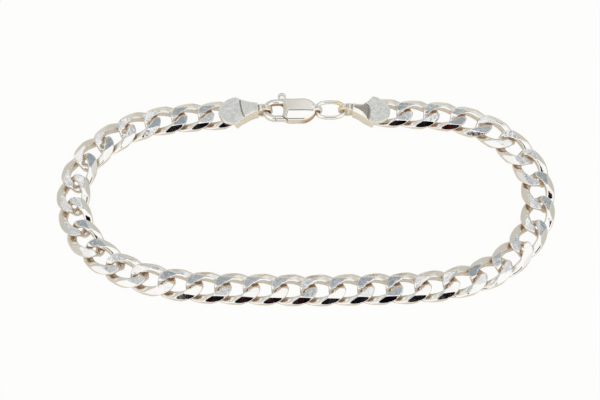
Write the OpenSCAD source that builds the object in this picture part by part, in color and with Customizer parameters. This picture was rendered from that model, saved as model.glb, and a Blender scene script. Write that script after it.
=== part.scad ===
// Flat curb link bracelet with a lobster clasp, in millimetres.
// It lies flat in a long loop: X is along the loop, Y across it, Z up from the surface at 0.

/* [Chain] */
// Distance from the middle of one link to the middle of the next
link_pitch = 5.18; // [5:0.02:5.5]
// Width across the chain
chain_width = 6.2; // [5.5:0.1:7]
// Thickness of the chain once its faces are cut flat
chain_thick = 2; // [1.7:0.05:2.3]
// Width of the wire round a link's ends
wire_end = 1.38; // [1.1:0.02:1.5]
// Width of the strands in the middle of a link's sides
wire_side = 1.6; // [1.4:0.02:2]
// Width added at a link's four flattened corners
wire_spread = 0.28; // [0:0.02:0.5]
// Height of the wire before the faces are cut
wire_high = 1.22; // [1:0.02:1.3]
// Play between two links along the chain
link_play = 0.42; // [0.2:0.02:0.5]
// Room between two strands where they cross
cross_play = 0.45; // [0.16:0.01:0.5]
// Width of the sloped cuts along the edges of the chain
bevel_width = 1; // [0.6:0.05:1.3]
// Slope of those cuts from level, in degrees
bevel_angle = 33; // [24:1:40]
// Turn of a link's high and low corners round the link, in degrees
twist_turn = 6; // [0:0.5:10]

/* [End tabs] */
// Width of a tab across its tongue
tab_width = 6.1; // [5:0.1:7]
// Distance from the middle of the soldered link to the middle of the tab's loop
tab_reach = 9; // [8.5:0.1:10]
// Turn of each tab away from the line of the clasp, in degrees
tab_lean = 5; // [0:0.5:10]
// Thickness of the stamped tongue
tongue_thick = 0.6; // [0.4:0.05:0.9]
// Length of the tongue over the link
tongue_length = 3.45; // [2.5:0.05:4]
// Width of the tab at its narrow end
neck_width = 2; // [1.4:0.1:2.6]
// Step between the tongue and the tapered part
tab_step = 0.15; // [0.05:0.05:0.3]
// Thickness of the loop at the narrow end
strap_thick = 0.4; // [0.3:0.05:0.6]
// Width of that loop
strap_width = 1; // [0.7:0.05:1.2]

/* [Clasp] */
// Length from the hook's end to the far side of the eye
clasp_length = 11.6; // [11:0.1:13]
// Width of the body
clasp_width = 5.4; // [5.2:0.05:6]
// Thickness of the body
clasp_thick = 2.6; // [2.4:0.05:3]
// Width of the hook across
hook_width = 4.9; // [4.7:0.05:5.1]
// Thickness of the hook's bar
hook_bar = 1.2; // [0.9:0.05:1.3]
// Length of the opening inside the hook
hook_gap = 2.85; // [2.7:0.05:3.2]
// Distance from the pivot to the gate's closed end
gate_length = 2.55; // [2.3:0.05:2.7]
// Distance from the pivot to the lever's knob
lever_length = 4.6; // [4.4:0.05:5]
// Width of the lever's knob
knob_width = 1.4; // [1:0.05:1.8]
// Thickness of the lever plate
lever_thick = 0.6; // [0.4:0.05:0.8]
// Travel of the gate from closed to open, in degrees
gate_travel = 42; // [30:1:44]
// Width of the pivot pin
pin_width = 0.8; // [0.5:0.05:1]
// Running clearance round the pin
pin_play = 0.05; // [0.02:0.01:0.1]
// Room left between other moving faces
move_play = 0.1; // [0.06:0.01:0.15]
// Bore of the eye
eye_bore = 1.3; // [1.1:0.05:1.4]
// Wall round the eye
eye_wall = 0.45; // [0.3:0.05:0.6]

/* [Jump ring] */
// Length over the oval ring
ring_length = 6.2; // [5.6:0.1:7]
// Width over the oval ring
ring_width = 4.4; // [3.8:0.1:5]
// Wire of the ring
ring_wire = 0.75; // [0.6:0.05:0.8]

/* [Hidden] */
$fn = 48;
silver = [0.87, 0.86, 0.84];
link_count = 36;
wire_sides = 6;
link_sides = 16;

// The chain's route from the left tab round to the right one, seen from above.
route_points = [[-17, 18], [-22.5, 17.5], [-33.1, 15.2], [-41.5, 8], [-43.5, -1], [-40.5, -9.5],
  [-33.5, -15.5], [-23.5, -18.5], [-6, -19.5], [8.5, -19.5], [28, -18], [37.2, -13.5],
  [43.1, -4.5], [42.6, 6], [35.7, 14.5], [28, 17.5], [24, 18], [17, 18.5]];

// One link: a saddle-shaped oval of wire, with both faces and their edges cut flat.
link_half = (link_pitch + link_play) / 2 + wire_end;
link_a = link_half - wire_end / 2;
link_b = (chain_width - wire_side) / 2;
cross_angle = acos(link_pitch / 2 / link_a);
link_steep = 1;
wire_fullness = 2.5;
function steep(s) = (exp(link_steep * s) - exp(-link_steep * s)) / (exp(link_steep * s) + exp(-link_steep * s));
function lift(t) = -steep(sin(2 * (t - twist_turn))) / steep(1);
link_rise = (wire_high + cross_play) / (lift(-cross_angle) - lift(180 + cross_angle));
bevel_limit = sin(bevel_angle) * (chain_width / 2 - bevel_width) + cos(bevel_angle) * chain_thick / 2;

// Heights shared by the tabs, the clasp and the ring.
tab_bore = hook_bar + 0.6;
strap_radius = tab_bore / 2 + strap_thick;
eye_radius = eye_bore / 2 + eye_wall;
mid_height = max(clasp_thick / 2, strap_radius, eye_radius);

// Places along the straight line of the clasp, from the left soldered link.
left_loop = tab_reach * cos(tab_lean);
loop_side = tab_reach * sin(tab_lean);
hook_start = left_loop - hook_bar / 2 - 0.09;
eye_place = clasp_length - eye_radius;
ring_start = hook_start + eye_place - ring_wire / 2 - 0.08;
ring_slack = (tab_bore - ring_wire) / 2 - 0.46;
right_loop = ring_start + ring_length - ring_wire / 2 + ring_slack;
closure_run = right_loop + left_loop;

// Hook, pivot and gate, from the hook's end.
hook_radius = hook_width / 2;
gap_half = hook_radius - hook_bar;
gap_end = hook_bar + hook_gap;
pivot = [gap_end + 0.85, 0.05 - gap_half];
hub_radius = 0.95;
seam_radius = gate_length + move_play;
gate_inner = pivot[1] - move_play;
slot_thick = lever_thick + 2 * move_play;
arm_width = 0.8;
lever_turn = 12;
knob_place = pivot + lever_length * [-sin(lever_turn), cos(lever_turn)];

// Smooth curve through the route's points.
function unit(v) = v / norm(v);
function knot(list, i) = i < 0 ? 2 * list[0] - list[1]
  : i >= len(list) ? 2 * list[len(list) - 1] - list[len(list) - 2] : list[i];
function curve(p0, p1, p2, p3, t) = let (
    d1 = sqrt(norm(p1 - p0)), d2 = sqrt(norm(p2 - p1)), d3 = sqrt(norm(p3 - p2)),
    m1 = d2 * ((p1 - p0) / d1 - (p2 - p0) / (d1 + d2)) + (p2 - p1),
    m2 = d2 * ((p3 - p2) / d3 - (p3 - p1) / (d2 + d3)) + (p2 - p1))
  (2 * pow(t, 3) - 3 * t * t + 1) * p1 + (pow(t, 3) - 2 * t * t + t) * m1
  + (3 * t * t - 2 * pow(t, 3)) * p2 + (pow(t, 3) - t * t) * m2;
function traced(list) = [for (i = [0:len(list) - 2], k = [0:15])
    curve(knot(list, i - 1), list[i], list[i + 1], knot(list, i + 2), k / 16), list[len(list) - 1]];
function travel(line) = [for (i = 0, s = 0; i < len(line);
    s = i + 1 < len(line) ? s + norm(line[i + 1] - line[i]) : s, i = i + 1) s];

// The loop grows with the links, and is let out along X for the clasp's length.
last_point = len(route_points) - 1;
first_line = traced(route_points);
first_travel = travel(first_line);
first_run = first_travel[len(first_line) - 1];
first_gap = norm(route_points[last_point] - route_points[0]);
grow = ((link_count - 1) * link_pitch - closure_run) / (first_run - first_gap);
let_out = closure_run - grow * first_gap;
line = traced([for (p = route_points) [grow * p[0] + sign(p[0]) * let_out / 2, grow * p[1]]]);
gone = travel(line);
line_run = gone[len(line) - 1];
along_x = [for (i = [0:len(line) - 1]) [gone[i], line[i][0]]];
along_y = [for (i = [0:len(line) - 1]) [gone[i], line[i][1]]];
function at(s) = [lookup(s, along_x), lookup(s, along_y)];
step = line_run / (link_count - 1);
function link_at(k) = at(k * step);
function link_way(k) = let (v = at(min(line_run, (k + 0.5) * step)) - at(max(0, (k - 0.5) * step)))
  atan2(v[1], v[0]);

// The clasp's line, and the middle of the whole loop.
left_end = line[0];
right_end = line[len(line) - 1];
closure_way = atan2(right_end[1] - left_end[1], right_end[0] - left_end[0]);
function reach(k, turn) = norm([link_half * cos(link_way(k) - turn), chain_width / 2 * sin(link_way(k) - turn)]);
all_links = [0:link_count - 1];
function from_left(p) = left_end + [p[0] * cos(closure_way) - p[1] * sin(closure_way),
  p[0] * sin(closure_way) + p[1] * cos(closure_way)];
knob_top = from_left([hook_start, loop_side] + knob_place)[1] + knob_width / 2;
low_x = min([for (k = all_links) link_at(k)[0] - reach(k, 0)]);
high_x = max([for (k = all_links) link_at(k)[0] + reach(k, 0)]);
low_y = min([for (k = all_links) link_at(k)[1] - reach(k, 90)]);
high_y = max(knob_top, max([for (k = all_links) link_at(k)[1] + reach(k, 90)]));
middle = [(low_x + high_x) / 2, (low_y + high_y) / 2];

// A closed ring of wire as one solid. Each section's corner stops at the cutting planes.
function shorten(c, d, cuts) = min([1, for (q = cuts) let (g = d * q[0]) g > 0.001 ? (q[1] - c * q[0]) / g : 1]);
function full(q, n) = pow(pow(abs(cos(q)), n) + pow(abs(sin(q)), n), -1 / n);
module oval_wire(a, b, rise, widths, high, fullness, cuts) {
  points = [for (i = [0:link_sides - 1], j = [0:wire_sides - 1]) let (
      t = i * 360 / link_sides, q = j * 360 / wire_sides,
      c = [a * cos(t), b * sin(t), rise * lift(t)],
      out = unit([b * cos(t), a * sin(t), 0]),
      w = widths[0] * pow(cos(t), 2) + widths[1] * pow(sin(t), 2) + widths[2] * pow(sin(2 * t), 2),
      d = full(q, fullness) * (out * cos(q) * w / 2 + [0, 0, sin(q) * high / 2]))
    c + d * shorten(c, d, cuts)];
  faces = [for (i = [0:link_sides - 1], j = [0:wire_sides - 1], half = [0, 1]) let (
      e = (i + 1) % link_sides, f = (j + 1) % wire_sides, m = wire_sides)
    half == 0 ? [i * m + j, i * m + f, e * m + j] : [i * m + f, e * m + f, e * m + j]];
  polyhedron(points = points, faces = faces, convexity = 6);
}

link_cuts = [[[0, 0, 1], chain_thick / 2], [[0, 0, -1], chain_thick / 2],
  for (y = [-1, 1], z = [-1, 1]) [[0, y * sin(bevel_angle), z * cos(bevel_angle)], bevel_limit]];
module curb_link() translate([0, 0, chain_thick / 2])
  oval_wire(link_a, link_b, link_rise, [wire_end, wire_side, wire_spread], wire_high, wire_fullness, link_cuts);

module loose_link(k) color(silver) translate([link_at(k)[0], link_at(k)[1], 0] - [middle[0], middle[1], 0])
  rotate([0, 0, link_way(k)]) curb_link();

// An end tab, from the middle of its soldered link towards the clasp.
tongue_end = link_half - 0.43;
neck_end = tab_reach - tab_bore / 2 - move_play;
taper = neck_end - tongue_end;
tongue_top = chain_thick + tongue_thick - 0.05;
tongue_under = chain_thick - 0.05;
tab_half = tab_width / 2;
neck_half = neck_width / 2;
// Shares of the taper's length, and of the width between the neck and the tongue.
taper_shares = [[0.1, 0.84], [0.22, 0.62], [0.36, 0.42], [0.6, 0.2], [1, 0]];
function taper_side(side) = [for (s = taper_shares)
    [tongue_end + s[0] * taper, side * (neck_half + s[1] * (tab_half - neck_half))]];
module tab_plan() polygon(concat(
  [for (i = [-8:8]) [tongue_end - tongue_length * cos(i * 90 / 8), tab_half * sin(i * 90 / 8)]],
  taper_side(1), [for (i = [len(taper_shares) - 1:-1:0]) taper_side(-1)[i]]));
neck_top = mid_height + strap_radius;
step_place = tongue_end + 0.22 * taper;
module tab_side() polygon([[tongue_end - tongue_length - 1, tongue_under], [tongue_end - 0.6, tongue_under],
  [tongue_end - 0.4, tongue_under - 0.9], [step_place, 0.25 * chain_thick], [step_place + 0.8, 0],
  [neck_end + 1, 0], [neck_end + 1, neck_top], [neck_end, neck_top], [step_place + 0.1, tongue_top - tab_step],
  [step_place, tongue_top], [tongue_end - tongue_length - 1, tongue_top]]);
module end_tab() color(silver) union() {
  curb_link();
  intersection() {
    linear_extrude(height = neck_top + 1) tab_plan();
    translate([0, tab_width, 0]) rotate([90, 0, 0]) linear_extrude(height = 2 * tab_width) tab_side();
  }
  translate([tab_reach, 0, mid_height]) rotate([90, 0, 0]) difference() {
    cylinder(h = strap_width, r = strap_radius, center = true);
    cylinder(h = strap_width + 1, d = tab_bore, center = true);
  }
}
module left_end_tab() translate([left_end[0] - middle[0], left_end[1] - middle[1], 0])
  rotate([0, 0, closure_way + tab_lean]) end_tab();
module right_end_tab() translate([right_end[0] - middle[0], right_end[1] - middle[1], 0])
  rotate([0, 0, closure_way + 180 - tab_lean]) end_tab();

// Puts a piece on the clasp's line, at its distance from the left soldered link.
module on_line(x) translate([left_end[0] - middle[0], left_end[1] - middle[1], 0])
  rotate([0, 0, closure_way]) translate([x, loop_side, 0]) children();

// The hook's bar is eight-sided, with its corners taken off.
bar_half = hook_bar / 2;
bar_face = 0.58 * bar_half;
module bar_section() polygon([[bar_half, bar_face], [bar_face, bar_half], [-bar_face, bar_half], [-bar_half, bar_face],
  [-bar_half, -bar_face], [-bar_face, -bar_half], [bar_face, -bar_half], [bar_half, -bar_face]]);
module hook() translate([hook_radius, 0, mid_height]) {
  rotate([0, 0, 90]) rotate_extrude(angle = 200) translate([hook_radius - bar_half, 0]) bar_section();
  translate([-0.02, hook_radius - bar_half, 0]) rotate([90, 0, 90]) linear_extrude(height = 1.4) bar_section();
}

// The egg-shaped body. Shares of its length, of its half width on each side, and of its half thickness.
body_start = gap_end - 1.35;
body_end = eye_place - eye_bore / 2 - 0.1;
body_sections = [[0, 0.89, 0.89, 0.42], [0.1, 0.93, 0.93, 0.74], [0.22, 0.97, 1, 0.94], [0.45, 1, 1, 1],
  [0.68, 1, 1, 1], [0.83, 0.86, 0.88, 0.94], [0.93, 0.62, 0.66, 0.82], [1, 0.33, 0.37, 0.7]];
// One section's corners: shares of the half width and of the half thickness. The ridge runs near the middle.
body_corners = [[1, 0.22], [0.87, 0.6], [0.5, 0.86], [-0.06, 1], [-0.55, 0.85], [-0.88, 0.58], [-1, 0.22],
  [-1, -0.22], [-0.88, -0.6], [-0.5, -0.9], [0.5, -0.9], [0.87, -0.6], [1, -0.22]];
module egg() {
  m = len(body_corners);
  n = len(body_sections);
  points = [for (s = body_sections, c = body_corners) [body_start + s[0] * (body_end - body_start),
    c[0] * (c[0] > 0 ? s[1] : s[2]) * clasp_width / 2,
    mid_height + max(-mid_height, c[1] * s[3] * clasp_thick / 2 / (c[1] > 0 ? 1 : 0.9))]];
  faces = concat([[for (j = [0:m - 1]) j]], [[for (j = [m - 1:-1:0]) (n - 1) * m + j]],
    [for (i = [0:n - 2], j = [0:m - 1], half = [0, 1]) let (f = (j + 1) % m)
      half == 0 ? [i * m + j, (i + 1) * m + j, i * m + f] : [i * m + f, (i + 1) * m + j, (i + 1) * m + f]]);
  polyhedron(points = points, faces = faces, convexity = 4);
}

module through(d) translate([0, 0, -1]) linear_extrude(height = clasp_thick + 3) circle(r = d);
module mouth() translate([0, 0, -1]) linear_extrude(height = clasp_thick + 3) union() {
  translate([hook_radius, 0]) circle(r = gap_half);
  translate([hook_radius, -gap_half]) square([gap_end - hook_radius - 0.5, 2 * gap_half]);
  translate([gap_end - 0.9, -gap_half]) square([0.9, 2 * gap_half - 0.5]);
  translate([gap_end - 0.5, gap_half - 0.5]) circle(r = 0.5);
}
// The room that the gate fills, between the body's round front and the hook's tip.
module gate_room() intersection() {
  translate([pivot[0], pivot[1], 0]) difference() {
    through(seam_radius);
    through(hub_radius + move_play);
  }
  translate([0, -clasp_width, -1]) cube([pivot[0], clasp_width + gate_inner + 0.4, clasp_thick + 3]);
}
function turned(v, a) = [v[0] * cos(a) - v[1] * sin(a), v[0] * sin(a) + v[1] * cos(a)];
rest_way = [-sin(lever_turn), cos(lever_turn)];
slot_half = arm_width / 2 + move_play;
module slot_plan() {
  translate(pivot) circle(r = hub_radius + 2.5 * move_play);
  polygon([pivot + turned([-slot_half, 0], lever_turn), pivot + turned([-slot_half, clasp_width], lever_turn),
    pivot + turned([slot_half + 0.35, clasp_width + 0.6], lever_turn - gate_travel - 6),
    pivot + turned([slot_half, 0], lever_turn - gate_travel - 6)]);
}
module clasp_body() color(silver) on_line(hook_start) union() {
  difference() {
    union() {
      hook();
      egg();
      translate([eye_place, 0, mid_height]) rotate([90, 0, 0])
        cylinder(h = strap_width, r = eye_radius, center = true);
    }
    mouth();
    gate_room();
    translate([0, 0, mid_height - slot_thick / 2]) linear_extrude(height = slot_thick) slot_plan();
    translate([eye_place, 0, mid_height]) rotate([90, 0, 0])
      cylinder(h = clasp_width, d = eye_bore, center = true);
  }
  translate([pivot[0], pivot[1], mid_height]) cylinder(h = slot_thick + 0.8, d = pin_width, center = true);
}

// The gate and its lever are one piece, turning on the pin.
module gate_arm() intersection() {
  translate([0, 0, mid_height - bar_half]) linear_extrude(height = hook_bar) polygon([
    [hook_radius - 0.6, -hook_radius + 0.06], [hook_radius - 0.6, gate_inner],
    [pivot[0] - move_play, gate_inner], [pivot[0] - move_play, -0.97 * clasp_width / 2],
    [gap_end - 0.6, -0.94 * clasp_width / 2], [hook_radius + 0.3, -hook_radius + 0.02]]);
  translate([pivot[0], pivot[1], 0]) difference() {
    through(gate_length);
    through(hub_radius + 2 * move_play);
  }
}
module lever_plan() {
  translate(pivot) circle(r = hub_radius);
  polygon([pivot + turned([-arm_width / 2, 0], lever_turn), knob_place + turned([-arm_width / 2, 0], lever_turn),
    knob_place + turned([arm_width / 2, 0], lever_turn), pivot + turned([arm_width / 2, 0], lever_turn)]);
  translate(knob_place) circle(r = knob_width / 2);
  polygon([pivot + [-1.5, -0.15], pivot + [-0.2, -0.15], pivot + [-0.2, -0.9], pivot + [-1.3, -1.05]]);
}
module clasp_trigger() color(silver) on_line(hook_start) difference() {
  union() {
    gate_arm();
    translate([0, 0, mid_height - lever_thick / 2]) linear_extrude(height = lever_thick) lever_plan();
  }
  translate([pivot[0], pivot[1], mid_height]) cylinder(h = clasp_thick, r = pin_width / 2 + pin_play, center = true);
}

module jump_ring() color(silver) on_line(ring_start + ring_length / 2) translate([0, 0, mid_height])
  oval_wire((ring_length - ring_wire) / 2, (ring_width - ring_wire) / 2, 0, [ring_wire, ring_wire, 0],
    ring_wire, 2, []);

module link_01() loose_link(1);
module link_02() loose_link(2);
module link_03() loose_link(3);
module link_04() loose_link(4);
module link_05() loose_link(5);
module link_06() loose_link(6);
module link_07() loose_link(7);
module link_08() loose_link(8);
module link_09() loose_link(9);
module link_10() loose_link(10);
module link_11() loose_link(11);
module link_12() loose_link(12);
module link_13() loose_link(13);
module link_14() loose_link(14);
module link_15() loose_link(15);
module link_16() loose_link(16);
module link_17() loose_link(17);
module link_18() loose_link(18);
module link_19() loose_link(19);
module link_20() loose_link(20);
module link_21() loose_link(21);
module link_22() loose_link(22);
module link_23() loose_link(23);
module link_24() loose_link(24);
module link_25() loose_link(25);
module link_26() loose_link(26);
module link_27() loose_link(27);
module link_28() loose_link(28);
module link_29() loose_link(29);
module link_30() loose_link(30);
module link_31() loose_link(31);
module link_32() loose_link(32);
module link_33() loose_link(33);
module link_34() loose_link(34);

link_01();
link_02();
link_03();
link_04();
link_05();
link_06();
link_07();
link_08();
link_09();
link_10();
link_11();
link_12();
link_13();
link_14();
link_15();
link_16();
link_17();
link_18();
link_19();
link_20();
link_21();
link_22();
link_23();
link_24();
link_25();
link_26();
link_27();
link_28();
link_29();
link_30();
link_31();
link_32();
link_33();
link_34();
left_end_tab();
right_end_tab();
clasp_body();
clasp_trigger();
jump_ring();
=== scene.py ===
# Flat curb link bracelet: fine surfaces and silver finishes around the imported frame.
import bpy
import math
import numpy as np
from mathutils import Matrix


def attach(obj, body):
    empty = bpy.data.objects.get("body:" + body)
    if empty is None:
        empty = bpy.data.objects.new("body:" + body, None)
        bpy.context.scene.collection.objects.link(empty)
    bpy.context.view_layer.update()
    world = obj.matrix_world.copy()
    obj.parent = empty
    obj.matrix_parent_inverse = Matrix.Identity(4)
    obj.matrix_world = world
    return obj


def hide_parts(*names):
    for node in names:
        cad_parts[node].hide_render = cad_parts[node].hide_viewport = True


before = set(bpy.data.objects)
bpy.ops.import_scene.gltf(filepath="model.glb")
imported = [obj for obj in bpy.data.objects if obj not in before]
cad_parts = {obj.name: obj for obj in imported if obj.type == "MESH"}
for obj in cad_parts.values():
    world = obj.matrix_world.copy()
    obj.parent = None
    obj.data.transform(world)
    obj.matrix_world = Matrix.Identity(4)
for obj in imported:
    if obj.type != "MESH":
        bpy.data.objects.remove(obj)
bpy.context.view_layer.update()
print("frame loaded:", len(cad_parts), "nodes")


def linearColour(hexText, alpha=1.0):
    # sRGB hex to linear light, as the shaders want it
    parts = [int(hexText[i:i + 2], 16) / 255 for i in (0, 2, 4)]
    return tuple(p / 12.92 if p <= 0.04045 else ((p + 0.055) / 1.055) ** 2.4 for p in parts) + (alpha,)


def addNode(tree, kind, settings=None, links=None):
    # one node: settings are attributes or sockets, with a colour as hex; links are socket -> (node, output)
    node = tree.nodes.new(kind)
    for key, value in (settings or {}).items():
        if isinstance(key, str) and hasattr(node, key):
            setattr(node, key, value)
        else:
            node.inputs[key].default_value = linearColour(value) if isinstance(value, str) else value
    for key, (source, output) in (links or {}).items():
        tree.links.new(source.outputs[output], node.inputs[key])
    return node


def smoothStep(x, low, high):
    # 0 up to low, 1 from high on, and 3ss - 2sss between them
    s = np.clip((x - low) / (high - low), 0, 1)
    return s * s * (3 - 2 * s)


def meshFromGrid(name, grids):
    # each grid is rows x columns x 3 in mm, closed round its columns; "loop" also closes its rows,
    # "ends" shuts each end row with its own middle point
    allPoints, allFaces, start = [], [], 0
    for points, closing in grids:
        rows, cols = points.shape[:2]
        last = rows if closing == "loop" else rows - 1
        i, j = np.meshgrid(np.arange(last), np.arange(cols), indexing="ij")
        a = i * cols + j
        b = i * cols + (j + 1) % cols
        c = ((i + 1) % rows) * cols + (j + 1) % cols
        d = ((i + 1) % rows) * cols + j
        faces = np.stack([a, b, c, d], -1).reshape(-1, 4)
        flat = points.reshape(-1, 3)
        extra = []
        if closing == "ends":
            middles = np.stack([points[0].mean(0), points[-1].mean(0)])
            k = np.arange(cols)
            n = (k + 1) % cols
            size = len(flat)
            lastRow = (rows - 1) * cols
            extra = [np.stack([n, k, np.full(cols, size)], -1),
                     np.stack([lastRow + k, lastRow + n, np.full(cols, size + 1)], -1)]
            flat = np.concatenate([flat, middles])
        allPoints.append(flat)
        allFaces += (faces + start).tolist()
        for e in extra:
            allFaces += (e + start).tolist()
        start += len(flat)
    mesh = bpy.data.meshes.new(name)
    mesh.from_pydata((np.concatenate(allPoints) * 0.001).tolist(), [], allFaces)
    mesh.polygons.foreach_set("use_smooth", [True] * len(mesh.polygons))
    mesh.update()
    return mesh


def addPiece(name, grids, material, body, nodes):
    # a piece made of grids, which rides on its body in place of its nodes
    obj = bpy.data.objects.new(name, meshFromGrid(name, grids))
    bpy.context.scene.collection.objects.link(obj)
    obj.data.materials.append(material)
    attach(obj, body)
    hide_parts(*nodes)
    return obj


def addShare(obj, name, values):
    # one number between 0 and 1 on each point, which the piece's material reads
    share = obj.data.attributes.new(name, "FLOAT", "POINT")
    share.data.foreach_set("value", np.clip(values, 0, 1).astype(np.float32).ravel())


def placed(points, x, y, degrees, z=0.0):
    # turned about Z, then moved to its place in the frame
    c, s = math.cos(math.radians(degrees)), math.sin(math.radians(degrees))
    out = points.copy()
    out[..., 0] = points[..., 0] * c - points[..., 1] * s + x
    out[..., 1] = points[..., 0] * s + points[..., 1] * c + y
    out[..., 2] = points[..., 2] + z
    return out


def newMaterial(name):
    # a material with nothing but its shader yet
    material = bpy.data.materials.new(name)
    material.use_nodes = True
    tree = material.node_tree
    tree.nodes.clear()
    shader = addNode(tree, "ShaderNodeBsdfPrincipled")
    addNode(tree, "ShaderNodeOutputMaterial", links={"Surface": (shader, "BSDF")})
    return material, tree, shader


# Sterling silver, flat-cut on a diamond lathe and buffed: mirror faces with a faint ripple that breaks up
# what they reflect, a slightly duller film in patches, and a warm painted shade with tarnish in the
# recesses.
polishedSilver = {"colour": "F8F7F4", "film": "ECEAE6", "tarnishAndShade": "D9AE6C", "tarnishAndShadeShare": 0.85,
                  "recessMetal": 0.3, "recessMm": 0.7, "shut": 0.18, "open": 0.82,
                  "roughLow": 0.06, "roughHigh": 0.15, "patchMm": 2.4, "patchLow": 0.35, "patchHigh": 0.7,
                  "rippleMm": 0.75, "rippleDepthMm": 0.012, "grainMm": 0.16, "grainDepthMm": 0.0006}
# The clasp and its trigger are cast, filed and tumbled: long soft swells, so that the flats hold broad
# calm reflections, and a brown painted shade with tarnish in its recesses, in the mouth and under the
# shoulder.
castSilver = dict(polishedSilver, rippleMm=2.0, rippleDepthMm=0.014, tarnishAndShade="C08A4C", recessMetal=0.55)
# The tabs' loops are strip, bent round and soldered shut: a mirror that the torch has left yellow, with
# painted shade and tarnish in its recesses.
yellowedSilver = dict(polishedSilver, colour="FAF7EE", film="EDE2C8", tarnishAndShade="A9823F", rippleMm=0.6)
# The jump ring is drawn wire, bent and soldered: a clean line of light along it, gold at the solder, and
# painted shade with tarnish in its recesses.
ringSilver = dict(polishedSilver, rippleMm=1.2, rippleDepthMm=0.01, tarnishAndShade="EDCF78", recessMetal=0.6)


def makePolishedSilver(name, facts):
    material, tree, shader = newMaterial(name)
    coords = addNode(tree, "ShaderNodeTexCoord")
    patches = addNode(tree, "ShaderNodeTexNoise",
                      {"Scale": 1000 / facts["patchMm"], "Detail": 3.0, "Roughness": 0.6},
                      {"Vector": (coords, "Object")})
    clean = addNode(tree, "ShaderNodeMix", {"data_type": "RGBA", 6: facts["colour"], 7: facts["film"]},
                    {0: (patches, "Fac")})
    # painted shade: where ambient occlusion finds a recess, or the point's share asks for it, the colour
    # goes to the warm recess tone and the metal turns partly diffuse
    openness = addNode(tree, "ShaderNodeAmbientOcclusion",
                       {"samples": 6, "Distance": facts["recessMm"] * 0.001})
    deep = addNode(tree, "ShaderNodeMapRange",
                   {"From Min": facts["shut"], "From Max": facts["open"],
                    "To Min": facts["tarnishAndShadeShare"], "To Max": 0.0}, {"Value": (openness, "AO")})
    stainAndShade = addNode(tree, "ShaderNodeAttribute", {"attribute_name": "stainAndShade"})
    recess = addNode(tree, "ShaderNodeMath", {"operation": "MAXIMUM"}, {0: (deep, 0), 1: (stainAndShade, "Fac")})
    colour = addNode(tree, "ShaderNodeMix", {"data_type": "RGBA", 7: facts["tarnishAndShade"]},
                     {0: (recess, 0), 6: (clean, 2)})
    metal = addNode(tree, "ShaderNodeMapRange", {"To Min": 1.0, "To Max": facts["recessMetal"]},
                    {"Value": (recess, 0)})
    rough = addNode(tree, "ShaderNodeMapRange",
                    {"From Min": facts["patchLow"], "From Max": facts["patchHigh"],
                     "To Min": facts["roughLow"], "To Max": facts["roughHigh"]},
                    {"Value": (patches, "Fac")})
    ripple = addNode(tree, "ShaderNodeTexNoise", {"Scale": 1000 / facts["rippleMm"], "Detail": 1.0},
                     {"Vector": (coords, "Object")})
    grain = addNode(tree, "ShaderNodeTexNoise", {"Scale": 1000 / facts["grainMm"], "Detail": 2.0},
                    {"Vector": (coords, "Object")})
    fine = addNode(tree, "ShaderNodeBump", {"Distance": facts["grainDepthMm"] * 0.001},
                   {"Height": (grain, "Fac")})
    relief = addNode(tree, "ShaderNodeBump", {"Distance": facts["rippleDepthMm"] * 0.001},
                     {"Height": (ripple, "Fac"), "Normal": (fine, "Normal")})
    for socket, node, output in (("Base Color", colour, 2), ("Metallic", metal, 0),
                                 ("Roughness", rough, 0), ("Normal", relief, 0)):
        tree.links.new(node.outputs[output], shader.inputs[socket])
    return material


# The tabs are blanked from sheet and left as stamped: satin, pebbled by the die, with broad faint dents
# that make the shine uneven, a dark painted shade with tarnish in the step's groove, and a painted shade
# on the tapers' flat tops, mostly on the right.
satinSilver = {"colour": "FDFBF5", "shade": "EFEDE5", "tarnishAndShade": "3F3A36", "tarnishAndShadeShare": 0.9,
               "recessMm": 0.3, "shut": 0.4, "open": 0.8, "taperShade": "A39D91",
               "roughLow": 0.2, "roughHigh": 0.32, "dentLow": 0.3, "dentHigh": 0.7,
               "grainMm": 0.3, "grainDepthMm": 0.008, "dentMm": 0.9, "dentDepthMm": 0.022}


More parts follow.
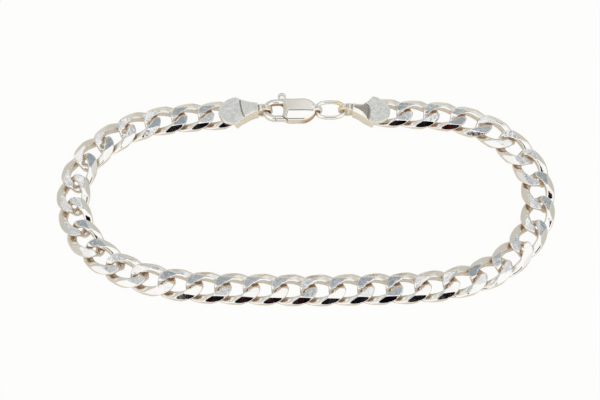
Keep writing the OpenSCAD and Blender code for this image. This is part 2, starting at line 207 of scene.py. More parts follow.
def makeSatinSilver(name, facts):
    material, tree, shader = newMaterial(name)
    shader.inputs["Metallic"].default_value = 1.0
    coords = addNode(tree, "ShaderNodeTexCoord")
    grain = addNode(tree, "ShaderNodeTexNoise",
                    {"Scale": 1000 / facts["grainMm"], "Detail": 2.0, "Roughness": 0.6},
                    {"Vector": (coords, "Object")})
    dents = addNode(tree, "ShaderNodeTexNoise", {"Scale": 1000 / facts["dentMm"], "Detail": 2.0},
                    {"Vector": (coords, "Object")})
    clean = addNode(tree, "ShaderNodeMix", {"data_type": "RGBA", 6: facts["shade"], 7: facts["colour"]},
                    {0: (grain, "Fac")})
    # painted shade: ambient occlusion darkens the step's groove to the dark recess tone
    openness = addNode(tree, "ShaderNodeAmbientOcclusion",
                       {"samples": 6, "Distance": facts["recessMm"] * 0.001})
    recess = addNode(tree, "ShaderNodeMapRange",
                     {"From Min": facts["shut"], "From Max": facts["open"],
                      "To Min": facts["tarnishAndShadeShare"], "To Max": 0.0}, {"Value": (openness, "AO")})
    # painted shade: the point's share darkens the taper's flat top towards a dull grey
    taperShade = addNode(tree, "ShaderNodeAttribute", {"attribute_name": "taperShade"})
    taperShaded = addNode(tree, "ShaderNodeMix", {"data_type": "RGBA", 7: facts["taperShade"]},
                   {0: (taperShade, "Fac"), 6: (clean, 2)})
    colour = addNode(tree, "ShaderNodeMix", {"data_type": "RGBA", 7: facts["tarnishAndShade"]},
                     {0: (recess, 0), 6: (taperShaded, 2)})
    rough = addNode(tree, "ShaderNodeMapRange",
                    {"From Min": facts["dentLow"], "From Max": facts["dentHigh"],
                     "To Min": facts["roughLow"], "To Max": facts["roughHigh"]}, {"Value": (dents, "Fac")})
    fine = addNode(tree, "ShaderNodeBump", {"Distance": facts["grainDepthMm"] * 0.001},
                   {"Height": (grain, "Fac")})
    relief = addNode(tree, "ShaderNodeBump", {"Distance": facts["dentDepthMm"] * 0.001},
                     {"Height": (dents, "Fac"), "Normal": (fine, "Normal")})
    for socket, node, output in (("Base Color", colour, 2), ("Roughness", rough, 0), ("Normal", relief, 0)):
        tree.links.new(node.outputs[output], shader.inputs[socket])
    return material


polished = makePolishedSilver("buffedSterlingSilver", polishedSilver)
castPolished = makePolishedSilver("castPolishedSilver", castSilver)
warmPolished = makePolishedSilver("yellowedPolishedSilver", yellowedSilver)
ringPolished = makePolishedSilver("ringPolishedSilver", ringSilver)
satin = makeSatinSilver("rolledSatinSilver", satinSilver)
print("materials made")

# Sizes in mm, angles in degrees. Fullness is how square the wire's section is: 2 is an oval. The two
# sharpnesses say how crisp the cut edges are. Each top flat leans about its flat middle.
link = {"count": 34, "pitch": 5.18, "width": 6.2, "thick": 2.0, "wireEnd": 1.38, "wireSide": 1.6,
        "wireSpread": 0.28, "wireHigh": 1.22, "sideHigh": 1.6,
        "cornerFullness": 3.2, "sideFullness": 4.2, "roundness": 2.7,
        "play": 0.42, "crossPlay": 0.45, "endSteep": 2.5, "sideLine": 0.97, "twistTurn": 6.0,
        "bevelWidth": 1.1, "bevelAngle": 31.5, "around": 144, "section": 56, "rays": 481,
        "sharpness": 90.0, "rimSharpness": 24.0, "flatMiddle": (2.5, 1.2), "flatLower": 0.01,
        "leastWire": 0.05, "crown": 1.2, "cutTilt": 1.6, "seed": 7}


def linkPoints(facts, tilts):
    # Centre line (a cos t, b sin t, height). The height swings like -sin 2t, but as a straight climb
    # along the link's sides, from the arcsine, and as a quick turnover round its ends, from tanh. The
    # wire's section is a fourfold rounded oval, widest at the link's four corners, and tallest and
    # squarest at the middle of its sides. Each ray of the section stops, with a slightly rounded corner,
    # at the oval or at the first of the cutting planes: a flat at each high corner with its own small
    # tilt, the underside, and four sloped edges.
    half = (facts["pitch"] + facts["play"]) / 2 + facts["wireEnd"]
    a = half - facts["wireEnd"] / 2
    b = (facts["width"] - facts["wireSide"]) / 2
    cross = math.acos(facts["pitch"] / 2 / a)
    turn = math.radians(facts["twistTurn"])

    def lift(t):
        swing = np.sin(2 * (t - turn))
        end = np.tanh(facts["endSteep"] * swing) / math.tanh(facts["endSteep"])
        side = np.arcsin(facts["sideLine"] * swing) / math.asin(facts["sideLine"])
        return -end * np.cos(t) ** 2 - side * np.sin(t) ** 2

    rise = (facts["wireHigh"] + facts["crossPlay"]) / (lift(-cross) - lift(math.pi + cross))
    slope = math.radians(facts["bevelAngle"])
    limit = (math.sin(slope) * (facts["width"] / 2 - facts["bevelWidth"])
             + math.cos(slope) * facts["thick"] / 2)
    t = np.linspace(0, 2 * np.pi, facts["around"], endpoint=False)[:, None]
    q = np.linspace(0, 2 * np.pi, facts["rays"])[None, :]
    centre = np.stack([a * np.cos(t), b * np.sin(t), rise * lift(t)], -1)
    out = np.stack([b * np.cos(t), a * np.sin(t), 0 * t], -1)
    out /= np.linalg.norm(out, axis=-1, keepdims=True)
    wide = (facts["wireEnd"] * np.cos(t) ** 2 + facts["wireSide"] * np.sin(t) ** 2
            + facts["wireSpread"] * np.sin(2 * t) ** 2)
    power = (facts["roundness"] + (facts["cornerFullness"] - facts["roundness"]) * np.sin(2 * t) ** 2
             + (facts["sideFullness"] - facts["roundness"]) * np.sin(t) ** 8)
    high = facts["wireHigh"] + (facts["sideHigh"] - facts["wireHigh"]) * np.sin(t) ** 8
    full = (np.abs(np.cos(q)) ** power + np.abs(np.sin(q)) ** power) ** (-1 / power)
    ray = out * (full * np.cos(q) * wide / 2)[..., None]
    ray[..., 2] = full * np.sin(q) * high / 2
    nearSide = (centre[..., 1] < 0)[..., None]
    lean = np.where(nearSide, tilts[0], tilts[1])
    flatX, flatY = facts["flatMiddle"]
    flatMiddle = np.where(nearSide, (flatX, -flatY), (-flatX, flatY))
    topNormal = np.concatenate([-lean, np.ones_like(lean[..., :1])], -1)
    topReach = facts["thick"] / 2 - facts["flatLower"] - (lean * flatMiddle).sum(-1)
    planes = [(topNormal, topReach), ((0, 0, -1), facts["thick"] / 2)]
    planes += [((0, y * math.sin(slope), z * math.cos(slope)), limit) for y in (-1, 1) for z in (-1, 1)]

    def reached(normal, reach):
        # how far past a plane each ray's end would be, as a share of the way
        along = (ray * np.asarray(normal)).sum(-1)
        room = np.maximum(reach - (centre * np.asarray(normal)).sum(-1), facts["leastWire"])
        return np.where(along > 1e-6, np.maximum(along, 1e-6) / room, 0)

    edge, rim = facts["sharpness"], facts["rimSharpness"]
    total = 1 + sum(reached(*plane) ** edge for plane in planes[1:])
    short = total ** (-1 / edge)
    short = (short ** -rim + reached(*planes[0]) ** rim) ** (-1 / rim)
    points = centre + ray * short[..., None]
    return evenColumns(points, facts["section"])[:, ::-1]


def evenColumns(points, columns, bendWeight=0.5):
    # shares a closed section's points out by length and bend; the last dense column repeats the first
    step = np.diff(points, axis=1)
    length = np.linalg.norm(step, axis=-1)
    way = step / np.maximum(length, 1e-9)[..., None]
    bend = np.arccos(np.clip((way * np.roll(way, 1, axis=1)).sum(-1), -1, 1))
    weight = length / length.sum(1, keepdims=True) + bendWeight * bend / bend.sum(1, keepdims=True)
    weight = weight + np.roll(weight, 1, axis=1) + np.roll(weight, -1, axis=1)
    gone = np.concatenate([np.zeros((len(points), 1)), np.cumsum(weight, axis=1)], axis=1)
    gone /= gone[:, -1:]
    rows = np.arange(len(points))[:, None] * 2.0
    wanted = (np.linspace(0, 1, columns, endpoint=False)[None, :] + rows).ravel()
    known = (gone + rows).ravel()
    return np.stack([np.interp(wanted, known, points[..., k].ravel()).reshape(len(points), columns)
                     for k in range(3)], -1)


def nodePlace(name):
    # a link's middle and direction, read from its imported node: the long axis of its points from above
    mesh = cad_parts[name].data
    flat = np.zeros(len(mesh.vertices) * 3)
    mesh.vertices.foreach_get("co", flat)
    points = np.unique(np.round(flat.reshape(-1, 3) * 1000, 4), axis=0)[:, :2]
    middle = (points.min(0) + points.max(0)) / 2
    axes = np.linalg.eigh(np.cov((points - middle).T))[1]
    return middle, math.degrees(math.atan2(axes[1, 1], axes[0, 1]))


chance = np.random.default_rng(link["seed"])
tiltSize = math.radians(link["cutTilt"])


def cutTilts():
    # slopes along x and y of a link's two top flats: each falls a little towards its own edge, and
    # leans at random
    lean = chance.normal(0, tiltSize, (2, 2)).clip(-2 * tiltSize, 2 * tiltSize)
    return lean + np.array([[0, 1], [0, -1]]) * math.radians(link["crown"])


for number in range(1, link["count"] + 1):
    node = f"link_{number:02d}"
    middle, degrees = nodePlace(node)
    shape = placed(linkPoints(link, cutTilts()), middle[0], middle[1], degrees, link["thick"] / 2)
    addPiece(f"curbLink{number:02d}", [(shape, "loop")], polished, "bracelet", [node])
print("links made")

# Sizes in mm from the tongue's end. The underside is high over the link, falls at the tongue's root and
# is down on the surface past the step.
tab = {"width": 6.1, "tongueEnd": 3.75, "neckWidth": 2.0, "neckEnd": 7.5, "tongueTop": 2.55,
       "tongueUnder": 1.95, "neckTop": 2.6, "rootStart": 0.7, "rootEnd": 0.3, "rootUnder": 0.7,
       "stepPlace": 4.12, "stepUnder": 0.45, "footRun": 0.8, "stepDrop": 0.12, "stepFade": 2.6,
       "edgeRound": 0.13, "underRound": 0.1, "loopMiddle": 8.65, "loopHigh": 1.3, "loopLong": 1.65,
       "loopThick": 0.4, "loopRound": 0.16, "loopWidthNeck": 1.7, "loopWidthEnd": 1.0, "midHeight": 1.3}
# Place is x, y and the turn in degrees. Far is the sign of the side away from the viewer. The sways move
# the tongue and the neck towards that side; the bends say how fast each edge curves in to the neck; the
# step's line is bowed and slanted; the last share is how much painted shade darkens the taper's flat top.
tabSides = {"left": {"place": (-16.639, 18.164, 5.877), "far": 1, "tongueEnd": 3.35,
                     "tongueLength": 3.55, "rollRound": 0.06, "stepSlant": -0.31, "stepBow": 0.25,
                     "grooveDeep": 0.2, "grooveWide": 0.1, "tongueSway": -0.3, "neckSway": 0.3,
                     "farBend": 1.3, "nearBend": 2.1, "taperShade": 0.1},
            "right": {"place": (16.534, 18.672, 175.877), "far": -1,
                      "tongueLength": 3.5, "rollRound": 0.62, "stepSlant": 0.55, "stepBow": 0.75,
                      "grooveDeep": 0.32, "grooveWide": 0.3, "tongueSway": -0.6, "neckSway": 0.15,
                      "farBend": 3.2, "nearBend": 1.5, "taperShade": 0.85}}


def cornerOutline(halfWide, top, under, topRound, underRound, counts):
    # a slab's section: flat top, rounded top corner, side, rounded bottom corner, flat underside, then
    # mirrored
    wide, top, under = (np.asarray(v)[:, None] for v in (halfWide, top, under))
    high = top - under
    topRound = np.minimum(np.minimum(np.asarray(topRound)[:, None], 0.98 * wide), 0.6 * high)
    underRound = np.minimum(np.minimum(np.asarray(underRound)[:, None], 0.98 * wide), 0.35 * high)
    flatTop, arcTop, side, arcUnder, flatUnder = [np.linspace(0, 1, n + 1)[None, :] for n in counts]
    y = [(wide - topRound) * flatTop[:, :-1],
         wide - topRound + topRound * np.sin(arcTop[:, :-1] * np.pi / 2),
         wide + 0 * side[:, :-1],
         wide - underRound + underRound * np.cos(arcUnder[:, :-1] * np.pi / 2),
         (wide - underRound) * (1 - flatUnder)]
    z = [top + 0 * flatTop[:, :-1],
         top - topRound + topRound * np.cos(arcTop[:, :-1] * np.pi / 2),
         top - topRound + (under + underRound - top + topRound) * side[:, :-1],
         under + underRound - underRound * np.sin(arcUnder[:, :-1] * np.pi / 2),
         under + 0 * flatUnder]
    y, z = np.concatenate(y, 1), np.concatenate(z, 1)
    return np.concatenate([y, -y[:, -2:0:-1]], 1), np.concatenate([z, z[:, -2:0:-1]], 1)


def tabPoints(facts):
    # Sections along the tab: a half ellipse in plan for the tongue, then a curve in to the neck, its own
    # on each side. Behind a bowed line the top drops by a groove and a small step.
    angle = np.linspace(0.02, np.pi / 2, 34)
    tongueX = facts["tongueEnd"] - facts["tongueLength"] * np.cos(angle)
    step = facts["stepPlace"]
    x = np.concatenate([tongueX, np.linspace(facts["tongueEnd"] + 0.03, step + 1.9, 64),
                        np.linspace(step + 1.96, facts["neckEnd"], 24)])
    half, neck = facts["width"] / 2, facts["neckWidth"] / 2
    share = np.clip((x - facts["tongueEnd"]) / (facts["neckEnd"] - facts["tongueEnd"]), 0, 1)
    tongue = half * np.sqrt(np.clip(1 - ((x - facts["tongueEnd"]) / facts["tongueLength"]) ** 2, 0, 1))
    farWide, nearWide = (np.where(x < facts["tongueEnd"], tongue,
                                  neck + (half - neck) * (1 - share) ** facts[bend])
                         for bend in ("farBend", "nearBend"))
    wide = (farWide + nearWide) / 2
    top = np.interp(x, [0, facts["tongueEnd"], facts["neckEnd"]],
                    [facts["tongueTop"], facts["tongueTop"], facts["neckTop"]])
    under = np.interp(x, [facts["tongueEnd"] - facts["rootStart"], facts["tongueEnd"] - facts["rootEnd"],
                          step, step + facts["footRun"]],
                      [facts["tongueUnder"], facts["rootUnder"], facts["stepUnder"], 0])
    roll = (facts["edgeRound"]
            + facts["rollRound"] * smoothStep(x, facts["tongueEnd"], facts["neckEnd"] - 1.8))
    y, z = cornerOutline(wide, top, under, roll, np.full(len(x), facts["underRound"]), (26, 8, 6, 5, 10))
    leastWide = np.maximum(wide, 0.01)
    v = facts["far"] * y / leastWide[:, None]
    y = y * np.where(v > 0, farWide[:, None], nearWide[:, None]) / leastWide[:, None]
    past = x[:, None] - step - facts["stepSlant"] * v - facts["stepBow"] * v * v
    full = facts["stepDrop"] + facts["grooveDeep"]
    drop = np.interp(past, [-0.03, 0.07, 0.07 + facts["grooveWide"], 0.2 + facts["grooveWide"],
                            facts["stepFade"]], [0, full, full, facts["stepDrop"], 0])
    z = z - drop * np.clip((z - under[:, None]) / (top - under)[:, None], 0, 1)
    sway = np.interp(x, [0.3 * facts["tongueEnd"], facts["neckEnd"]],
                     [facts["tongueSway"], facts["neckSway"]])
    points = np.stack([x[:, None] + 0 * y, y + facts["far"] * sway[:, None], z], -1)
    flatTop = (np.abs(v) < 1 - (roll / leastWide)[:, None]) & (z > 0.7 * top[:, None])
    # painted shade on the taper's flat top, behind the step and short of the neck's end
    taperShade = facts["taperShade"] * flatTop * smoothStep(past, 0.05, 0.2) * (1 - smoothStep(x, 6.9, 7.5))[:, None]
    return points[:, ::-1], taperShade[:, ::-1]


def bandPoints(facts, around=96):
    # a flat band bent into an oval loop about the Y axis, with rounded edges, wider at the neck than at
    # its end
    turn = np.linspace(0, 2 * np.pi, around, endpoint=False)[:, None]
    share = (1 - np.cos(turn)) / 2
    wide = facts["loopWidthEnd"] + (facts["loopWidthNeck"] - facts["loopWidthEnd"]) * share
    rounding = np.array([facts["loopRound"]])
    y, r = cornerOutline(np.array([0.5]), np.array([facts["loopThick"]]), np.array([0.0]),
                         rounding, rounding, (4, 4, 2, 4, 4))
    y = y * wide + facts["far"] * facts["neckSway"] * share
    return np.stack([(facts["loopLong"] - facts["loopThick"] + r) * np.cos(turn) + facts["loopMiddle"],
                     y, (facts["loopHigh"] - facts["loopThick"] + r) * np.sin(turn)], -1)


for side, ownFacts in tabSides.items():
    node = f"{side}_end_tab"
    facts = {**tab, **ownFacts}
    x, y, degrees = facts["place"]
    plate, taperShade = tabPoints(facts)
    obj = addPiece(f"{side}TabPlate", [(placed(plate, x, y, degrees), "ends")], satin, "bracelet",
                   [node])
    addShare(obj, "taperShade", np.concatenate([taperShade.ravel(), [0, 0]]))
    ring = placed(bandPoints(facts), x, y, degrees, facts["midHeight"])
    addPiece(f"{side}TabLoop", [(ring, "loop")], warmPolished, "bracelet", [node])
    shape = placed(linkPoints(link, cutTilts()), x, y, degrees, link["thick"] / 2)
    addPiece(f"{side}TabLink", [(shape, "loop")], polished, "bracelet", [node])
print("tabs made")


def contourField(name, field, low, high, cell):
    # The closed surface where a field of signed distances is zero, in mm. Each grid cell that the surface
    # crosses gets one point, at the mean of its edges' crossings, then moved onto the zero along the
    # field's slope; each crossed grid edge gets one face between its four cells.
    axes = [np.arange(low[k], high[k] + cell, cell) for k in range(3)]
    x, y, z = np.meshgrid(*axes, indexing="ij")
    value = field(x, y, z)
    cells = np.array(value.shape) - 1
    total, count = np.zeros((*cells, 3)), np.zeros(cells)
    crossings = []
    for k in range(3):
        first = np.take(value, np.arange(cells[k]), axis=k)
        second = np.take(value, np.arange(1, cells[k] + 1), axis=k)
        crossed = (first < 0) != (second < 0)
        part = np.where(crossed, first / np.where(crossed, first - second, 1), 0)
        place = np.stack([np.take(axis, np.arange(cells[k]), axis=k) for axis in (x, y, z)], -1)
        place[..., k] += part * cell
        place *= crossed[..., None]
        crossings.append((crossed, first < 0))
        others = [m for m in range(3) if m != k]
        for shift in ((0, 0), (0, 1), (1, 0), (1, 1)):
            window = [slice(None)] * 3
            for m, step in zip(others, shift):
                window[m] = slice(step, step + cells[m])
            total += place[tuple(window)]
            count += crossed[tuple(window)]
    index = np.full(cells, -1)
    used = count > 0
    index[used] = np.arange(used.sum())
    points = total[used] / count[used][:, None]
    for _ in range(3):
        here = field(*points.T)
        slope = np.stack([(field(*(points + d).T) - field(*(points - d).T)) / 0.004
                          for d in np.eye(3) * 0.002], -1)
        move = slope * (here / np.maximum((slope ** 2).sum(-1), 0.05))[:, None]
        points -= np.clip(move, -cell / 2, cell / 2)
    faces = []
    for k, (crossed, firstInside) in enumerate(crossings):
        u, v = (k + 1) % 3, (k + 2) % 3
        where = np.argwhere(crossed)
        where = where[(where[:, u] > 0) & (where[:, v] > 0)
                      & (where[:, u] < cells[u]) & (where[:, v] < cells[v])]
        corners = []
        for du, dv in ((-1, -1), (0, -1), (0, 0), (-1, 0)):
            spot = where.copy()
            spot[:, u] += du
            spot[:, v] += dv
            corners.append(index[tuple(spot.T)])
        quads = np.stack(corners, -1)
        outward = firstInside[tuple(where.T)]
        faces.append(np.where(outward[:, None], quads, quads[:, ::-1]))
    mesh = bpy.data.meshes.new(name)
    mesh.from_pydata((points * 0.001).tolist(), [], np.concatenate(faces).tolist())
    mesh.polygons.foreach_set("use_smooth", [True] * len(mesh.polygons))
    mesh.update()
    return mesh


def both(a, b, blend):
    # where two solids meet: the larger distance, rounded over a strip
    near = np.maximum(blend - np.abs(a - b), 0) / blend
    return np.maximum(a, b) + near * near * blend / 4


def either(a, b, blend):
    # two solids joined, with a fillet
    return -both(-a, -b, blend)


def addContoured(name, field, stainAndShade, low, high, cell, place, material, body, nodes):
    # contours a field in the clasp's frame, then sets it in its place with a share of painted shade on each
    # point
    mesh = contourField(name, field, low, high, cell)
    flat = np.zeros(len(mesh.vertices) * 3)
    mesh.vertices.foreach_get("co", flat)
    points = flat.reshape(-1, 3) * 1000
    x, y, degrees, z = place
    mesh.vertices.foreach_set("co", (placed(points, x, y, degrees, z) * 0.001).ravel())
    mesh.update()
    obj = bpy.data.objects.new(name, mesh)
    addShare(obj, "stainAndShade", stainAndShade(*points.T))
    bpy.context.scene.collection.objects.link(obj)
    mesh.materials.append(material)
    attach(obj, body)
    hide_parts(*nodes)
    return obj


# Sizes in mm in the clasp's own frame: x from the hook's end, y away from the viewer, z up from its
# middle plane. Place is x, y, the turn in degrees and the height. Slopes and turns are in degrees, and
# the far facet's slope eases by the twist between two x. The edges say how softly two faces meet. Each
# painted shade value is where the painted shade starts and is full, or is full and ends, along one axis.
clasp = {"place": (-8.3757, 19.0748, 0.8769, 1.3), "cell": 0.05,
         "low": (-0.3, -2.95, -1.45), "high": (11.85, 2.95, 1.45),
         "triggerLow": (2.0, -2.7, -0.75), "triggerHigh": (6.1, 4.2, 0.75),
         "bar": 0.6, "barPower": 2.5, "barMiddle": 1.85, "hookX": 2.45, "hookEnd": 5.2, "tipEnd": 3.4,
         "mouthEnd": 4.05, "mouthHalf": 1.25, "mouthRound": 0.5, "mouthEdge": 0.2,
         "pivotX": 4.9, "pivotY": -1.2, "pinRadius": 0.4, "pinHalf": 0.8, "pinPlay": 0.05,
         "seamRadius": 2.65, "gateRadius": 2.55, "gateInner": 1.15, "hubCover": 1.05, "hubRadius": 0.95,
         "half": 2.7, "farHalf": 2.42, "farSlim": 0.1, "slimStart": 2.4, "slimEnd": 4.8, "bodyStart": 3.0,
         "top": 1.3, "ridgeY": -0.7, "farSlope": 9.5, "farTwist": 4.0, "twistStart": 5.0, "twistEnd": 10.0,
         "nearSlope": 10.5, "lineHalf": 0.14, "lineDeep": 0.12, "lineStart": 5.0, "lineEnd": 9.9,
         "taperStart": 7.8, "taperEnd": 10.6, "taperDrop": 0.22, "farPower": 2.1, "nearPower": 1.9,
         "neckHalf": 0.38, "farEdge": 0.55, "nearEdge": 0.42, "underEdge": 1.0,
         "frontBevel": 38.0, "frontHigh": 0.72, "fillet": 0.35,
         "eyeX": 10.5, "eyeOut": 1.1, "eyeIn": 0.65, "eyeHalf": 0.5,
         "slotHalf": 0.4, "leverTurn": 14.0, "leverHalf": 0.4, "leverFlat": 0.3, "leverLength": 4.6,
         "leverPlay": 0.12, "travel": 42.0, "travelSpare": 6.0, "knobRadius": 0.8, "knobRim": 0.27,
         "knobCrown": 0.15, "armY": -1.875, "armHalf": 0.575,
         "webX": -0.85, "webY": -0.5, "webLong": 0.62, "webWide": 0.35,
         "paintedShadeShare": 0.85, "shoulderStart": (6.6, 8.6), "shoulderEnd": (10.2, 11.0),
         "shoulderOut": (0.5, 1.4), "shoulderLow": (-1.05, -0.6), "shoulderHigh": (0.2, 0.75),
         "mouthShade": (0.9, 4.0, 1.42), "mouthShadeOut": (0.3, 1.1), "mouthShadeHigh": (0.25, 0.5)}


def barField(across, z, facts):
    # the hook's rounded bar: a fourfold oval across the bar and up
    power = facts["barPower"]
    size = np.abs(across / facts["bar"]) ** power + np.abs(z / facts["bar"]) ** power + 1e-12
    return (size ** (1 / power) - 1) * facts["bar"]


def claspBodyField(x, y, z):
    # hook, egg-shaped body and eye, joined with fillets, less the mouth, the gate's room, the lever's
    # slot and the eye's bore
    c = clasp
    ring = np.hypot(x - c["hookX"], y) - c["barMiddle"]
    across = np.where((x > c["hookX"]) & (y > 0), y - c["barMiddle"], ring)
    hook = both(barField(across, z, c), x - c["hookEnd"], 0.1)
    tip = np.where((x > c["hookX"]) & (y < 0), x - c["tipEnd"], -1.0)
    hook = np.maximum(hook, tip)
    # the body's half widths fall to the neck along (1 - u^n)^0.8, u being 0 to 1 along the taper
    u = np.clip((x - c["taperStart"]) / (c["taperEnd"] - c["taperStart"]), 0, 1.15)
    farHalf, nearHalf = (c["neckHalf"]
                         + (c[half] - c["neckHalf"]) * np.clip(1 - u ** c[power], 0, 1) ** 0.8
                         for half, power in (("farHalf", "farPower"), ("half", "nearPower")))
    farHalf = farHalf - c["farSlim"] * (1 - smoothStep(x, c["slimStart"], c["slimEnd"]))
    twisted = np.clip((x - c["twistStart"]) / (c["twistEnd"] - c["twistStart"]), 0, 1)
    far = math.radians(c["farSlope"]) - math.radians(c["farTwist"]) * twisted
    near = math.radians(c["nearSlope"])
    lower = c["taperDrop"] * smoothStep(x, c["taperStart"], c["taperEnd"])
    farTop = (z - c["top"] + lower) * np.cos(far) + (y - c["ridgeY"]) * np.sin(far)
    nearTop = (z - c["top"] + lower) * math.cos(near) - (y - c["ridgeY"]) * math.sin(near)
    body = both(farTop, nearTop, 0.1)
    # the engraved line is a V along the ridge
    line = np.abs(y - c["ridgeY"]) / c["lineHalf"] - 1 - np.maximum(farTop, nearTop) / c["lineDeep"]
    line = line / math.hypot(1 / c["lineHalf"], 1 / c["lineDeep"])
    line = np.maximum(line, np.maximum(c["lineStart"] - x, x - c["lineEnd"]))
    body = both(body, -line, 0.03)
    steepness = np.hypot(1, np.clip(u, 0, 1) ** 1.2 * 1.1)
    body = both(body, (y - farHalf) / steepness, c["farEdge"])
    body = both(body, (-y - nearHalf) / steepness, c["nearEdge"])
    body = both(body, -z - c["top"] + 0.02 + 0.1 * (y / c["half"]) ** 2 + lower, c["underEdge"])
    body = both(body, x - c["taperEnd"] + 0.3, 0.3)
    slope = math.radians(c["frontBevel"])
    rise = (x - c["mouthEnd"]) * math.sin(slope)
    front = (z - c["frontHigh"]) * math.cos(slope) - rise
    body = both(body, np.where(y > 1.2, front - 0.5 * (y - 1.2), front), 0.3)
    body = both(body, (-z - c["frontHigh"]) * math.cos(slope) - rise, 0.3)
    body = both(body, c["bodyStart"] - x, 0.2)
    solid = either(hook, body, c["fillet"])
    eye = both(np.hypot(x - c["eyeX"], z) - c["eyeOut"], np.abs(y) - c["eyeHalf"], 0.3)
    solid = either(solid, eye, c["fillet"])
    corner = c["mouthRound"]
    mouthX = np.abs(x - (c["mouthEnd"] + c["hookX"]) / 2) - (c["mouthEnd"] - c["hookX"]) / 2 + corner
    mouthY = np.abs(y) - c["mouthHalf"] + corner
    mouth = np.hypot(np.maximum(mouthX, 0), np.maximum(mouthY, 0))
    mouth = mouth + np.minimum(np.maximum(mouthX, mouthY), 0) - corner
    solid = both(solid, -mouth, c["mouthEdge"])
    fromPivot = np.hypot(x - c["pivotX"], y - c["pivotY"])
    room = np.maximum(np.maximum(fromPivot - c["seamRadius"], c["hubCover"] - fromPivot),
                      np.maximum(x - c["pivotX"], y - c["pivotY"] - 0.25))
    solid = both(solid, -room, 0.08)
    # the slot spreads from the pivot, from the lever's place at rest to a little past its open place
    turned = []
    for degrees, side in ((c["leverTurn"], 1), (c["leverTurn"] - c["travel"] - c["travelSpare"], -1)):
        angle = math.radians(degrees)
        turned.append(-side * ((x - c["pivotX"]) * math.cos(angle) + (y - c["pivotY"]) * math.sin(angle))
                      - c["leverHalf"] - c["leverPlay"])
    wedge = np.maximum(np.maximum(turned[0], turned[1]), c["pivotY"] - y)
    slot = np.maximum(np.minimum(wedge, fromPivot - c["hubCover"] - 0.15), np.abs(z) - c["slotHalf"])
    solid = both(solid, -slot, 0.05)
    solid = both(solid, c["eyeIn"] - np.hypot(x - c["eyeX"], z), 0.12)
    pin = np.maximum(fromPivot - c["pinRadius"], np.abs(z) - c["pinHalf"])
    return np.minimum(solid, pin)


def triggerField(x, y, z):
    # the gate's arm, its hub, the lever plate and the round knob, less the pin's hole
    c = clasp
    fromPivot = np.hypot(x - c["pivotX"], y - c["pivotY"])
    arm = barField((y - c["armY"]) * c["bar"] / c["armHalf"], z, c)
    arm = both(arm, fromPivot - c["gateRadius"], 0.1)
    arm = both(arm, x - c["pivotX"] + 0.1, 0.1)
    arm = both(arm, c["gateInner"] - fromPivot, 0.1)
    angle = math.radians(c["leverTurn"])
    along = -(x - c["pivotX"]) * math.sin(angle) + (y - c["pivotY"]) * math.cos(angle)
    aside = (x - c["pivotX"]) * math.cos(angle) + (y - c["pivotY"]) * math.sin(angle)
    plate = np.maximum(np.abs(aside) - c["leverHalf"], np.maximum(-along, along - c["leverLength"]))
    plate = np.minimum(plate, fromPivot - c["hubRadius"])
    web = np.maximum(np.abs(x - c["pivotX"] - c["webX"]) - c["webLong"],
                     np.abs(y - c["pivotY"] - c["webY"]) - c["webWide"])
    plate = both(np.minimum(plate, web), np.abs(z) - c["leverFlat"], 0.12)
    fromKnob = np.hypot(aside, along - c["leverLength"])
    rise = c["knobRim"] + c["knobCrown"] * np.clip(1 - (fromKnob / c["knobRadius"]) ** 2, 0, 1)
    knob = both(fromKnob - c["knobRadius"], np.abs(z) - rise, 0.22)
    solid = either(either(arm, plate, 0.06), knob, 0.12)
    return np.maximum(solid, c["pinRadius"] + c["pinPlay"] - fromPivot)


def claspPaintedShade(x, y, z):
    # painted shade, as a yellowed reflection of the shadowed ground: under the near shoulder by the eye,
    # and on the hook's inner wall
    c = clasp
    shoulder = (smoothStep(x, *c["shoulderStart"]) * (1 - smoothStep(x, *c["shoulderEnd"]))
                * smoothStep(-y, *c["shoulderOut"])
                * smoothStep(z, *c["shoulderLow"]) * (1 - smoothStep(z, *c["shoulderHigh"])))
    start, end, half = c["mouthShade"]
    mouth = ((x > start) & (x < end) & (np.abs(y) < half)) * smoothStep(y, *c["mouthShadeOut"])
    mouth = mouth * (1 - smoothStep(z, *c["mouthShadeHigh"]))
    return c["paintedShadeShare"] * np.maximum(shoulder, mouth)


def noStain(x, y, z):
    # clean all over
    return 0 * x


addContoured("claspBody", claspBodyField, claspPaintedShade, clasp["low"], clasp["high"], clasp["cell"],
             clasp["place"], castPolished, "bracelet", ["clasp_body"])
addContoured("claspTrigger", triggerField, noStain, clasp["triggerLow"], clasp["triggerHigh"],
             clasp["cell"], clasp["place"], castPolished, "trigger", ["clasp_trigger"])
print("clasp made")

# Sizes in mm in the clasp's frame; the stain is gold at the solder, at a turn round the ring in radians.
jumpRing = {"middle": 13.145, "halfLong": 2.725, "halfWide": 1.825, "power": 2.45, "wire": 0.375,
            "around": 160, "section": 28, "solderTurn": 0.75, "solderWide": 0.3, "solderStain": 0.8}


def ringPoints(facts):
    # round wire swept along a rounded oblong: |x/a|^n + |y/b|^n = 1
    around, section = facts["around"], facts["section"]
    t = np.linspace(0, 2 * np.pi, around, endpoint=False)
    reach = ((np.abs(np.cos(t)) / facts["halfLong"]) ** facts["power"]
             + (np.abs(np.sin(t)) / facts["halfWide"]) ** facts["power"]) ** (-1 / facts["power"])
    centre = np.stack([reach * np.cos(t), reach * np.sin(t)], -1)
    way = np.roll(centre, -1, axis=0) - np.roll(centre, 1, axis=0)
    way /= np.linalg.norm(way, axis=1, keepdims=True)
    out = np.stack([way[:, 1], -way[:, 0]], -1)
    q = np.linspace(0, 2 * np.pi, section, endpoint=False)
    flat = centre[:, None] + out[:, None] * (np.cos(q) * facts["wire"])[None, :, None]
    height = np.broadcast_to((np.sin(q) * facts["wire"])[None, :, None], (around, section, 1))
    return np.concatenate([flat, height], -1)[:, ::-1]


